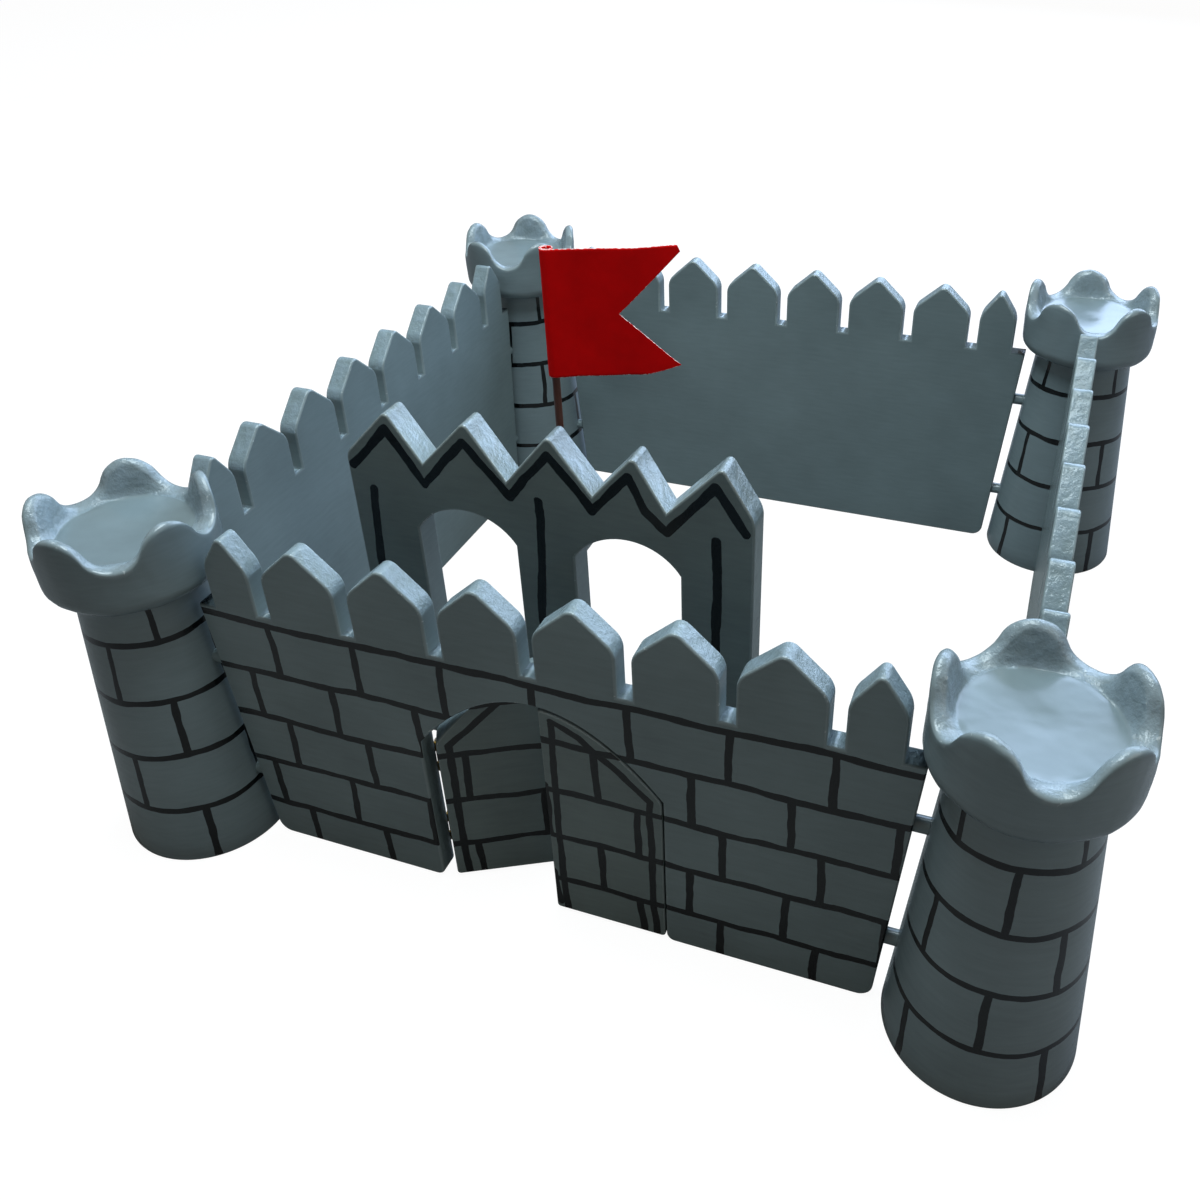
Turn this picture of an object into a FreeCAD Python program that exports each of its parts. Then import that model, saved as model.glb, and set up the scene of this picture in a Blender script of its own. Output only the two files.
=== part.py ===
import FreeCAD, Part
import math
import os
import Sketcher

# Wooden toy castle: four battlemented boards plugged between four turned towers,
# a two-leaf gate in the front board and a free-standing arcade with a flag inside.
# Millimetres. The ground is z = 0, the gate faces -Y and the yard's centre is the origin.

Vector = FreeCAD.Vector
document = FreeCAD.newDocument("toy_castle")

# Sizes, all in one sheet.

SIZES = (
    ("tower_spread", 222.8, "yard centre to tower axis, along X and along Y"),
    ("board_thickness", 12, "wall and gate boards"),
    ("wall_foot_half", 171.5, "half length of a wall at the ground"),
    ("wall_shoulder_half", 183, "half length of a wall at the slot floors"),
    ("slot_floor", 158, "height of the slot floors"),
    ("merlon_shoulder", 184, "height of the merlon shoulders"),
    ("merlon_apex", 202.5, "height of the merlon points"),
    ("merlon_pitch", 48, "distance between slots"),
    ("slot_width", 7.5, "saw slot between merlons"),
    ("end_merlon_width", 25.6, "narrow merlon at each end of a wall"),
    ("wall_foot_radius", 8, "rounded lower corners of the walls"),
    ("dowel_radius", 4, "dowels between walls and towers"),
    ("dowel_clearance", 0.05, "radial gap round a glued dowel"),
    ("dowel_sink", 8.5, "foot of a wall's end to the inner end of its dowels"),
    ("dowel_core", 24, "tower axis to the outer end of a dowel"),
    ("dowel_upper", 120, "height of the upper dowels"),
    ("dowel_lower", 42, "height of the lower dowels"),
    ("tower_foot_radius", 46.3, "radius of a tower at the ground"),
    ("tower_neck_radius", 32.2, "radius of a tower under its crown"),
    ("tower_foot_chamfer", 1, "broken edge at the foot of a tower"),
    ("crown_underside", 165, "height of the crown's flat underside"),
    ("crown_radius", 44, "outer radius of the crown"),
    ("crown_edge_radius", 9, "rounded lower edge of the crown"),
    ("crown_peak", 210, "height of the crown's waves"),
    ("crown_valley", 192, "height between the waves"),
    ("crown_rim_inner", 37.5, "inner radius of the rim at its top"),
    ("dish_radius", 33, "radius of the dish floor"),
    ("dish_edge", 190.8, "height of the dish floor at its edge"),
    ("dish_centre", 189.8, "height of the dish floor at its centre"),
    ("dish_scoop_radius", 1.8, "hollow of the rim's inner face: its pole, out from the dish"),
    ("dish_scoop_height", 5.5, "hollow of the rim's inner face: its pole, above the dish"),
    ("crown_waves", 5, "waves round a crown"),
    ("crown_turn_front_left", 18, "turn of the first valley from the first dowel hole, degrees"),
    ("crown_turn_front_right", 47, "the same for the front right tower, degrees"),
    ("crown_turn_back_right", 24, "the same for the back right tower, degrees"),
    ("crown_turn_back_left", 13, "the same for the back left tower, degrees"),
    ("gate_half", 65, "half width of the gateway"),
    ("gate_rise", 141, "top of the gateway"),
    ("gate_curve", 0.01, "fall of the gateway per square millimetre from its middle"),
    ("leaf_floor", 2, "gap under the leaves"),
    ("leaf_side_gap", 0.6, "gap between leaf and gateway, at the hinges"),
    ("leaf_top_gap", 1.5, "gap over the leaves, measured upright"),
    ("leaf_meeting", 2, "place of the meeting edges, right of the middle"),
    ("leaf_meeting_gap", 2.6, "gap between the meeting edges"),
    ("left_leaf_angle", 28, "turn of the open left leaf, degrees"),
    ("pin_inset", 0.3, "hinge pins inside the edges of the gateway"),
    ("pin_standoff", 2.6, "hinge pins behind the inner face of the front wall"),
    ("pin_radius", 1, "hinge pins"),
    ("pin_clearance", 0.05, "radial gap between pin and knuckle"),
    ("pin_head_radius", 1.6, "domed heads at both ends of a pin"),
    ("pin_head_height", 0.8, "domed heads at both ends of a pin"),
    ("knuckle_radius", 2.1, "hinge knuckles"),
    ("knuckle_gap", 0.4, "gap between neighbouring knuckles"),
    ("hinge_height", 20, "hinge plates"),
    ("hinge_knuckle", 6, "upper and lower knuckle"),
    ("hinge_reach", 12, "hinge plate from pin to free edge"),
    ("hinge_plate", 1, "hinge plate thickness"),
    ("hinge_relief", 2, "plate kept back from the other plate's knuckles"),
    ("hinge_upper", 68, "underside of the upper hinges"),
    ("hinge_lower", 16, "underside of the lower hinges"),
    ("screw_row", 7.5, "pin to screw"),
    ("screw_margin", 4.5, "plate end to screw"),
    ("screw_radius", 0.9, "screw shanks"),
    ("screw_clearance", 0.1, "radial gap round a shank in its hole"),
    ("screw_length", 8, "screw shanks"),
    ("screw_head_radius", 1.8, "screw heads"),
    ("screw_head_height", 0.8, "screw heads"),
    ("arcade_x", -38.5, "middle of the arcade"),
    ("arcade_face", -127.7, "front face of the arcade"),
    ("arcade_thickness", 17, "arcade board"),
    ("arcade_half", 117, "half width of the arcade"),
    ("arcade_corner", 197.2, "height of the outer corners"),
    ("peak_1_along", -88.2, "sawn by hand: first point from the left, from the middle"),
    ("peak_1_height", 226.6, "first point"),
    ("peak_2_along", -41.2, "second point, from the middle"),
    ("peak_2_height", 227.5, "second point"),
    ("peak_3_along", 6.5, "third point, from the middle"),
    ("peak_3_height", 227.2, "third point"),
    ("peak_4_along", 52.7, "fourth point, from the middle"),
    ("peak_4_height", 223.1, "fourth point"),
    ("peak_5_along", 99.6, "fifth point, from the middle"),
    ("peak_5_height", 225.1, "fifth point"),
    ("valley_1_along", -69.1, "first valley from the left, from the middle"),
    ("valley_1_height", 198.5, "first valley"),
    ("valley_2_along", -19.5, "second valley, from the middle"),
    ("valley_2_height", 196.1, "second valley"),
    ("valley_3_along", 29.6, "third valley, from the middle"),
    ("valley_3_height", 196.3, "third valley"),
    ("valley_4_along", 70.2, "fourth valley, from the middle"),
    ("valley_4_height", 193.7, "fourth valley"),
    ("arch_middle", 47.4, "middle of the arcade to the middle of an arch"),
    ("arch_half", 30, "half width of an arch"),
    ("arch_spring", 156, "start of an arch's curve"),
    ("arch_rise", 16.6, "height of an arch's curve"),
    ("batten_half", 17, "half width of the rear batten"),
    ("batten_depth", 15, "depth of the rear batten"),
    ("batten_bottom", 138, "lower end of the rear batten"),
    ("batten_top", 190, "upper end of the rear batten"),
    ("pole_radius", 2, "flag pole"),
    ("pole_behind", 5, "flag pole behind the arcade's back face"),
    ("pole_shift", 3.7, "flag pole from the middle of the arcade"),
    ("pole_socket", 30, "depth of the flag pole in the batten"),
    ("pole_top", 315, "upper end of the flag pole"),
    ("flag_bottom", 251, "lower edge of the flag"),
    ("flag_height", 66, "flag along the pole"),
    ("flag_length", 64, "pole to tips"),
    ("flag_notch", 33.5, "pole to the notch"),
    ("flag_corner", 46, "pole to the place where the lower edge turns up"),
    ("flag_tip_rise", 4.4, "lower tip above the lower edge"),
    ("flag_tip_blunt", 3.3, "cut end of the upper tip"),
    ("flag_tip_back", 1.5, "cut end of the upper tip, along the upper edge"),
    ("flag_thickness", 0.8, "painted cloth"),
    ("flag_sleeve_wall", 0.8, "cloth rolled round the pole"),
    ("flag_angle", 22, "turn of the flag, degrees"),
)

sheet = document.addObject("Spreadsheet::Sheet", "Size")
for row, (alias, number, note) in enumerate(SIZES, 1):
    sheet.set("A%d" % row, note)
    sheet.set("B%d" % row, str(number))
    sheet.setAlias("B%d" % row, alias)
document.recompute()


# Helpers.

def size(expression):
    """The value of an expression in the sheet's aliases."""
    result = sheet.evalExpression(expression)
    return float(getattr(result, "Value", result))


def bind(item, **expressions):
    """Drive an object's properties from the sheet."""
    for name, expression in expressions.items():
        item.setExpression(name, expression)


def place(item, x="0", y="0", z="0", angle="0", axis=(0, 0, 1)):
    """Place an object by expressions: a shift and a turn about one axis."""
    turn = FreeCAD.Rotation(Vector(*axis), 1)
    item.Placement = FreeCAD.Placement(Vector(0, 0, 0), turn)
    item.setExpression("Placement.Base.x", x)
    item.setExpression("Placement.Base.y", y)
    item.setExpression("Placement.Base.z", z)
    item.setExpression("Placement.Rotation.Angle", angle)


def origin_plane(body, role):
    """One of a body's own origin planes or axes, by its role."""
    return [item for item in body.Origin.OriginFeatures if item.Role == role][0]


def new_body(name):
    body = document.addObject("PartDesign::Body", name)
    body.Label = name
    return body


def new_sketch(body, name, role, offset="0"):
    """A sketch on an origin plane, moved along the plane's normal."""
    sketch = body.newObject("Sketcher::SketchObject", name)
    sketch.AttachmentSupport = [(origin_plane(body, role), "")]
    sketch.MapMode = "FlatFace"
    sketch.setExpression("AttachmentOffset.Base.z", offset)
    return sketch


def fix_point(sketch, element, point, x, y):
    """Hold a sketch point at two sheet-driven coordinates."""
    for kind, expression in (("DistanceX", x), ("DistanceY", y)):
        constraint = Sketcher.Constraint(kind, -1, 1, element, point, size(expression))
        index = sketch.addConstraint(constraint)
        sketch.setExpression("Constraints[%d]" % index, expression)


def draw_outline(sketch, vertices, curves=()):
    """A closed outline through sheet-driven vertices.

    curves maps the number of a side to the middle pole of a parabola, or to the
    centre of an arc with a sign: 1 for an anticlockwise arc, -1 for a clockwise one.
    """
    curves = dict(curves)
    points = [Vector(size(x), size(y), 0) for x, y in vertices]
    count = len(points)
    first = len(sketch.Geometry)
    swapped = set()
    for side in range(count):
        start = points[side]
        end = points[(side + 1) % count]
        curve = curves.get(side)
        if curve is None:
            sketch.addGeometry(Part.LineSegment(start, end), False)
        elif curve[0] == "parabola":
            pole = Vector(size(curve[1]), size(curve[2]), 0)
            spline = Part.BSplineCurve()
            spline.buildFromPolesMultsKnots([start, pole, end], [3, 3], [0.0, 1.0], False, 2)
            sketch.addGeometry(spline, False)
        else:
            centre = Vector(size(curve[1]), size(curve[2]), 0)
            low, high = (start, end) if curve[3] > 0 else (end, start)
            if curve[3] < 0:
                swapped.add(side)
            circle = Part.Circle(centre, Vector(0, 0, 1), (start - centre).Length)
            span = [math.atan2(p.y - centre.y, p.x - centre.x) for p in (low, high)]
            if span[1] < span[0]:
                span[1] += 2 * math.pi
            sketch.addGeometry(Part.ArcOfCircle(circle, span[0], span[1]), False)
    for side in range(count):
        following = (side + 1) % count
        leave = 1 if side in swapped else 2
        enter = 2 if following in swapped else 1
        sketch.addConstraint(
            Sketcher.Constraint("Coincident", first + side, leave, first + following, enter))
    for side, (x, y) in enumerate(vertices):
        fix_point(sketch, first + side, 2 if side in swapped else 1, x, y)
    for side, curve in curves.items():
        if curve[0] == "parabola":
            before = len(sketch.Geometry)
            sketch.exposeInternalGeometry(first + side)
            fix_point(sketch, before + 1, 3, curve[1], curve[2])
        else:
            constraint = Sketcher.Constraint("DistanceY", -1, 1, first + side, 3, size(curve[2]))
            index = sketch.addConstraint(constraint)
            sketch.setExpression("Constraints[%d]" % index, curve[2])


def draw_circle(sketch, x, y, radius):
    """A sheet-driven circle."""
    circle = Part.Circle(Vector(size(x), size(y), 0), Vector(0, 0, 1), size(radius))
    element = sketch.addGeometry(circle, False)
    fix_point(sketch, element, 3, x, y)
    index = sketch.addConstraint(Sketcher.Constraint("Radius", element, size(radius)))
    sketch.setExpression("Constraints[%d]" % index, radius)


def pad(body, name, sketch, length, symmetric=False):
    feature = body.newObject("PartDesign::Pad", name)
    feature.Profile = sketch
    feature.SideType = "Symmetric" if symmetric else "One side"
    feature.setExpression("Length", length)
    finish_feature(body, feature, sketch)
    return feature


def pocket(body, name, sketch, length, symmetric=False, reverse=False):
    """A pocket that must take material away."""
    before = body.Shape.Volume
    feature = body.newObject("PartDesign::Pocket", name)
    feature.Profile = sketch
    feature.SideType = "Symmetric" if symmetric else "One side"
    feature.Reversed = reverse
    feature.setExpression("Length", length)
    finish_feature(body, feature, sketch)
    if feature.Shape.Volume > before - 1:
        raise RuntimeError("%s takes nothing away" % name)
    return feature


def pattern(body, name, kind, originals, **settings):
    """A PartDesign pattern that becomes the body's tip."""
    feature = body.newObject("PartDesign::" + kind, name)
    feature.Originals = originals
    for key, setting in settings.items():
        if isinstance(setting, str) and setting.startswith("Size."):
            feature.setExpression(key, setting)
        else:
            setattr(feature, key, setting)
    body.Tip = feature
    document.recompute()
    return feature


def finish_feature(body, feature, sketch):
    body.Tip = feature
    document.recompute()
    sketch.Visibility = False


def edge_names(shape, wanted):
    """Names of the edges whose middle point passes a test."""
    names = []
    for number, edge in enumerate(shape.Edges, 1):
        middle = edge.valueAt((edge.FirstParameter + edge.LastParameter) / 2)
        if wanted(edge, middle):
            names.append("Edge%d" % number)
    return names


def fuse(name, items):
    feature = document.addObject("Part::MultiFuse", name)
    feature.Shapes = items
    feature.Label = name
    return feature


def cut(name, base, tool):
    feature = document.addObject("Part::Cut", name)
    feature.Base = base
    feature.Tool = tool
    feature.Label = name
    return feature


def cylinder(name, radius, height):
    item = document.addObject("Part::Cylinder", name)
    item.Label = name
    bind(item, Radius=radius, Height=height)
    return item


def box(name, length, width, height):
    item = document.addObject("Part::Box", name)
    item.Label = name
    bind(item, Length=length, Width=width, Height=height)
    return item


nodes = {}

# Walls.

# name, turn about Z, shift of the middle along X and Y
WALLS = (
    ("wall_front", 0, "0", "-Size.tower_spread"),
    ("wall_right", 90, "Size.tower_spread", "0"),
    ("wall_back", 180, "0", "Size.tower_spread"),
    ("wall_left", 270, "-Size.tower_spread", "0"),
)
SLOTS = (3, 2, 1, 0, -1, -2, -3)

# Where a dowel ends inside its wall, from the wall's middle.
DOWEL_INNER = "(Size.wall_foot_half - Size.dowel_sink)"


def battlement(slots):
    """Vertices of a wall's top edge from right to left."""
    points = []
    end = "(%d * Size.merlon_pitch + %d * Size.slot_width / 2"
    outer = end % (slots[0], 1) + " + Size.end_merlon_width)"
    inner = end % (slots[0], 1) + ")"
    points.append(("Size.wall_shoulder_half", "Size.slot_floor"))
    points.append((outer, "Size.slot_floor"))
    points.append((outer, "Size.merlon_shoulder"))
    points.append(("(%s + %s) / 2" % (outer, inner), "Size.merlon_apex"))
    points.append((inner, "Size.merlon_shoulder"))
    for slot in slots:
        right = end % (slot, 1) + ")"
        left = end % (slot, -1) + ")"
        points.append((right, "Size.slot_floor"))
        points.append((left, "Size.slot_floor"))
        points.append((left, "Size.merlon_shoulder"))
        if slot != slots[-1]:
            points.append(("(%.1f * Size.merlon_pitch)" % (slot - 0.5), "Size.merlon_apex"))
            points.append((end % (slot - 1, 1) + ")", "Size.merlon_shoulder"))
    points.append(("-(%s + %s) / 2" % (outer, inner), "Size.merlon_apex"))
    points.append(("-" + outer, "Size.merlon_shoulder"))
    points.append(("-" + outer, "Size.slot_floor"))
    points.append(("-Size.wall_shoulder_half", "Size.slot_floor"))
    return points


def make_wall(name, turn, x, y):
    body = new_body(name)
    outline = new_sketch(body, name + "_outline", "XZ_Plane")
    feet = [("-Size.wall_foot_half", "0"), ("Size.wall_foot_half", "0")]
    draw_outline(outline, feet + battlement(SLOTS))
    board = pad(body, name + "_board", outline, "Size.board_thickness", symmetric=True)

    corners = edge_names(
        board.Shape,
        lambda edge, middle: abs(middle.z) < 0.01 and abs(middle.y) < 0.01)
    corner_round = body.newObject("PartDesign::Fillet", name + "_corners")
    corner_round.Base = (board, corners)
    corner_round.setExpression("Radius", "Size.wall_foot_radius")
    body.Tip = corner_round
    document.recompute()

    if name == "wall_front":
        gateway = new_sketch(body, name + "_gateway", "XZ_Plane")
        spring = "(Size.gate_rise - Size.gate_curve * Size.gate_half * Size.gate_half)"
        pole = "(Size.gate_rise + Size.gate_curve * Size.gate_half * Size.gate_half)"
        draw_outline(
            gateway,
            [
                ("-Size.gate_half", "-1"),
                ("Size.gate_half", "-1"),
                ("Size.gate_half", spring),
                ("-Size.gate_half", spring),
            ],
            {2: ("parabola", "0 * Size.gate_half", pole)})
        pocket(body, name + "_gateway_cut", gateway, "2 * Size.board_thickness", symmetric=True)

    holes = new_sketch(body, name + "_holes", "YZ_Plane", DOWEL_INNER)
    for height in ("Size.dowel_upper", "Size.dowel_lower"):
        draw_circle(holes, "0", height, "Size.dowel_radius + Size.dowel_clearance")
    bores = pocket(body, name + "_bores", holes, "40", reverse=True)
    pattern(body, name + "_both_ends", "Mirrored", [bores],
            MirrorPlane=(origin_plane(body, "YZ_Plane"), [""]))
    place(body, x, y, "0", str(turn))
    nodes[name] = body


for wall in WALLS:
    make_wall(*wall)

# Towers.

# name, signs of the shift along X and Y, turn that brings the dowel holes to the walls
TOWERS = (
    ("tower_front_left", -1, -1, 0),
    ("tower_front_right", 1, -1, 90),
    ("tower_back_right", 1, 1, 180),
    ("tower_back_left", -1, 1, 270),
)

# Half a wave at the rim: two equal arcs that meet half way up.
WAVE_HALF = "(Size.crown_radius * sin(180 / Size.crown_waves))"
WAVE_HEIGHT = "(Size.crown_peak - Size.crown_valley)"
WAVE_RADIUS = "((%s * %s + %s * %s) / (4 * %s))" % (
    WAVE_HALF, WAVE_HALF, WAVE_HEIGHT, WAVE_HEIGHT, WAVE_HEIGHT)
WAVE_MIDDLE = "((Size.crown_peak + Size.crown_valley) / 2)"


def make_tower(name, side_x, side_y, turn):
    body = new_body(name)
    profile = new_sketch(body, name + "_profile", "XZ_Plane")
    edge = "(Size.crown_radius - Size.crown_edge_radius)"
    draw_outline(
        profile,
        [
            ("0", "0"),
            ("Size.tower_foot_radius - Size.tower_foot_chamfer", "0"),
            ("Size.tower_foot_radius", "Size.tower_foot_chamfer"),
            ("Size.tower_neck_radius", "Size.crown_underside"),
            (edge, "Size.crown_underside"),
            ("Size.crown_radius", "Size.crown_underside + Size.crown_edge_radius"),
            ("Size.crown_radius", "Size.crown_peak"),
            ("Size.crown_rim_inner", "Size.crown_peak"),
            ("Size.dish_radius", "Size.dish_edge"),
            ("0", "Size.dish_centre"),
        ],
        {
            4: ("arc", edge, "Size.crown_underside + Size.crown_edge_radius", 1),
            7: ("parabola", "Size.dish_radius + Size.dish_scoop_radius",
                "Size.dish_edge + Size.dish_scoop_height"),
        })
    turning = body.newObject("PartDesign::Revolution", name + "_turning")
    turning.Profile = profile
    turning.ReferenceAxis = (profile, ["V_Axis"])
    turning.Angle = 360
    finish_feature(body, turning, profile)

    wave = new_sketch(body, name + "_wave", "YZ_Plane")
    wave.AttachmentOffset = FreeCAD.Placement(
        Vector(0, 0, 0), FreeCAD.Rotation(Vector(0, 1, 0), 1))
    wave.setExpression("AttachmentOffset.Rotation.Angle", "Size.crown_turn_" + name[6:])
    above = "Size.crown_peak + 6"
    draw_outline(
        wave,
        [
            ("-" + WAVE_HALF, "Size.crown_peak"),
            ("-" + WAVE_HALF + " / 2", WAVE_MIDDLE),
            (WAVE_HALF + " / 2", WAVE_MIDDLE),
            (WAVE_HALF, "Size.crown_peak"),
            (WAVE_HALF, above),
            ("-" + WAVE_HALF, above),
        ],
        {
            0: ("arc", "-" + WAVE_HALF, "Size.crown_peak - " + WAVE_RADIUS, -1),
            1: ("arc", "0", "Size.crown_valley + " + WAVE_RADIUS, 1),
            2: ("arc", WAVE_HALF, "Size.crown_peak - " + WAVE_RADIUS, -1),
        })
    valley = pocket(body, name + "_valley", wave, "Size.crown_radius + 10", reverse=True)
    pattern(body, name + "_valleys", "PolarPattern", [valley],
            Axis=(origin_plane(body, "Z_Axis"), [""]), Angle=360,
            Occurrences="Size.crown_waves")

    holes = new_sketch(
        body, name + "_holes", "YZ_Plane", "Size.dowel_core")
    for height in ("Size.dowel_upper", "Size.dowel_lower"):
        draw_circle(holes, "0", height, "Size.dowel_radius + Size.dowel_clearance")
    bores = pocket(body, name + "_bores", holes, "Size.tower_foot_radius", reverse=True)
    pattern(body, name + "_both_walls", "PolarPattern", [bores],
            Axis=(origin_plane(body, "Z_Axis"), [""]), Mode="Spacing", Offset=90,
            Occurrences=2)
    place(body, "%d * Size.tower_spread" % side_x, "%d * Size.tower_spread" % side_y,
          "0", str(turn))
    nodes[name] = body


for tower in TOWERS:
    make_tower(*tower)

# Dowels.

# wall, name of its end, axis that the dowel follows, signs of its two coordinates
DOWELS = (
    ("front", "left", "x", -1, -1),
    ("front", "right", "x", 1, -1),
    ("back", "left", "x", -1, 1),
    ("back", "right", "x", 1, 1),
    ("left", "front", "y", -1, -1),
    ("left", "back", "y", -1, 1),
    ("right", "front", "y", 1, -1),
    ("right", "back", "y", 1, 1),
)
for wall, end, along, sign_x, sign_y in DOWELS:
    for level in ("upper", "lower"):
        name = "dowel_%s_%s_%s" % (wall, end, level)
        dowel = cylinder(name, "Size.dowel_radius",
                         "Size.tower_spread - Size.dowel_core - " + DOWEL_INNER)
        height = "Size.dowel_" + level
        if along == "x":
            place(dowel, "%d * %s" % (sign_x, DOWEL_INNER), "%d * Size.tower_spread" % sign_y,
                  height, str(90 * sign_x), (0, 1, 0))
        else:
            place(dowel, "%d * Size.tower_spread" % sign_x, "%d * %s" % (sign_y, DOWEL_INNER),
                  height, str(-90 * sign_y), (1, 0, 0))
        nodes[name] = dowel

# Gate.

PIN_Y = "-Size.tower_spread + Size.board_thickness / 2 + Size.pin_standoff"


def make_leaf(name, side, angle):
    """A leaf drawn from its hinge pins: side is 1 for the right leaf, -1 for the left."""
    body = new_body(name)
    outline = new_sketch(body, name + "_outline", "XZ_Plane", "Size.pin_standoff")
    hinge = "(%d * (Size.gate_half - Size.leaf_side_gap))" % side
    meeting = "(Size.leaf_meeting + %d * Size.leaf_meeting_gap / 2)" % side
    pins = "(%d * (Size.gate_half - Size.pin_inset))" % side
    top = "(Size.gate_rise - Size.leaf_top_gap - Size.gate_curve * %s * %s)"
    vertices = [
        (hinge + " - " + pins, "Size.leaf_floor"),
        (hinge + " - " + pins, top % (hinge, hinge)),
        (meeting + " - " + pins, top % (meeting, meeting)),
        (meeting + " - " + pins, "Size.leaf_floor"),
    ]
    pole = ("(%s + %s) / 2 - %s" % (hinge, meeting, pins), top % (hinge, meeting))
    draw_outline(outline, vertices, {1: ("parabola",) + pole})
    pad(body, name + "_board", outline, "Size.board_thickness")
    place(body, pins, PIN_Y, "0", angle)
    nodes[name] = body


def make_hinge_plate(name, side, toward, level, angle):
    """Half a butt hinge. toward is 1 or -1: the side of the pin that the plate lies on."""
    is_wall = name.startswith("hinge_wall")
    plate = box(name + "_plate", "Size.hinge_reach", "Size.hinge_plate", "Size.hinge_height")
    shift = "0" if toward > 0 else "-Size.hinge_reach"
    place(plate, shift, "-Size.pin_standoff")

    inner_low = "Size.hinge_knuckle"
    inner_height = "(Size.hinge_height - 2 * Size.hinge_knuckle)"
    gap = "Size.knuckle_gap"
    reliefs = []
    if is_wall:
        relief_spans = ((inner_low, inner_height),)
        knuckle_spans = (("0", inner_low), (inner_low + " + " + inner_height, inner_low))
    else:
        relief_spans = (
            ("-1", "%s + %s + 1" % (inner_low, gap)),
            ("Size.hinge_height - %s - %s" % (inner_low, gap),
             "%s + %s + 1" % (inner_low, gap)),
        )
        knuckle_spans = (
            ("%s + %s" % (inner_low, gap), "%s - 2 * %s" % (inner_height, gap)),)
    for number, (low, height) in enumerate(relief_spans, 1):
        relief = box("%s_relief_%d" % (name, number), "2 * Size.hinge_relief", "8", height)
        place(relief, "-Size.hinge_relief", "-4", low)
        reliefs.append(relief)
    knuckles = []
    for number, (low, height) in enumerate(knuckle_spans, 1):
        knuckle = cylinder("%s_knuckle_%d" % (name, number), "Size.knuckle_radius", height)
        place(knuckle, "0", "0", low)
        knuckles.append(knuckle)

    relief_tool = reliefs[0] if len(reliefs) == 1 else fuse(name + "_reliefs", reliefs)
    relieved = cut(name + "_relieved", plate, relief_tool)
    blank = fuse(name + "_blank", [relieved] + knuckles)

    bore = cylinder(name + "_bore", "Size.pin_radius + Size.pin_clearance",
                    "Size.hinge_height + 2")
    place(bore, "0", "0", "-1")
    holes = [bore]
    for number, height in enumerate(SCREW_ROWS, 1):
        hole = cylinder("%s_hole_%d" % (name, number),
                        "Size.screw_radius + Size.screw_clearance", "4")
        place(hole, "%d * Size.screw_row" % toward, "0", height, "90", (1, 0, 0))
        holes.append(hole)
    drilled = cut(name, blank, fuse(name + "_holes", holes))
    place(drilled, "%d * (Size.gate_half - Size.pin_inset)" % side, PIN_Y, "Size.hinge_" + level, angle)
    nodes[name] = drilled


SCREW_ROWS = ("Size.screw_margin", "Size.hinge_height - Size.screw_margin")


def make_screws(name, side, toward, angle):
    """The four screws of one side's two plates, turned into the board behind them."""
    parts = []
    for level in ("upper", "lower"):
        for number, row in enumerate(SCREW_ROWS, 1):
            stem = "%s_%s_%d" % (name, level, number)
            height = "Size.hinge_%s + %s" % (level, row)
            shank = cylinder(stem + "_shank", "Size.screw_radius", "Size.screw_length")
            place(shank, "%d * Size.screw_row" % toward, "-Size.pin_standoff + Size.hinge_plate",
                  height, "90", (1, 0, 0))
            head = document.addObject("Part::Sphere", stem + "_dome")
            head.Angle1 = 0
            dome = "(Size.screw_head_radius^2 + Size.screw_head_height^2)"
            bind(head, Radius=dome + " / (2 * Size.screw_head_height)")
            place(head, "%d * Size.screw_row" % toward,
                  "-Size.pin_standoff + Size.hinge_plate + Size.screw_head_height - %s"
                  " / (2 * Size.screw_head_height)" % dome,
                  height, "-90", (1, 0, 0))
            keep = cylinder(stem + "_keep", "Size.screw_head_radius + 1", "4")
            place(keep, "%d * Size.screw_row" % toward, "-Size.pin_standoff + Size.hinge_plate",
                  height, "-90", (1, 0, 0))
            top = document.addObject("Part::Common", stem + "_head")
            top.Base = head
            top.Tool = keep
            parts.append(fuse(stem, [shank, top]))
    group = document.addObject("Part::Compound", name)
    group.Links = parts
    group.Label = name
    place(group, "%d * (Size.gate_half - Size.pin_inset)" % side, PIN_Y, "0", angle)
    nodes[name] = group


def make_pin(name, side, level):
    """A hinge pin with a flat head at each end, in the wall plate's knuckles."""
    shank = cylinder(name + "_shank", "Size.pin_radius", "Size.hinge_height")
    lower = cylinder(name + "_foot", "Size.pin_head_radius", "Size.pin_head_height")
    place(lower, "0", "0", "-Size.pin_head_height")
    upper = cylinder(name + "_head", "Size.pin_head_radius", "Size.pin_head_height")
    place(upper, "0", "0", "Size.hinge_height")
    pin = fuse(name, [shank, lower, upper])
    place(pin, "%d * (Size.gate_half - Size.pin_inset)" % side, PIN_Y, "Size.hinge_" + level)
    nodes[name] = pin


# side name, sign, turn of the leaf at rest
LEAVES = (
    ("left", -1, "Size.left_leaf_angle"),
    ("right", 1, "0"),
)
for leaf_name, leaf_side, leaf_angle in LEAVES:
    make_leaf("gate_leaf_" + leaf_name, leaf_side, leaf_angle)
    for level in ("upper", "lower"):
        suffix = "_%s_%s" % (leaf_name, level)
        make_hinge_plate("hinge_wall" + suffix, leaf_side, leaf_side, level, "0")
        make_hinge_plate("hinge_leaf" + suffix, leaf_side, -leaf_side, level, leaf_angle)
        make_pin("hinge_pin" + suffix, leaf_side, level)
    make_screws("screws_wall_" + leaf_name, leaf_side, leaf_side, "0")
    make_screws("screws_leaf_" + leaf_name, leaf_side, -leaf_side, leaf_angle)

# Arcade.

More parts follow.
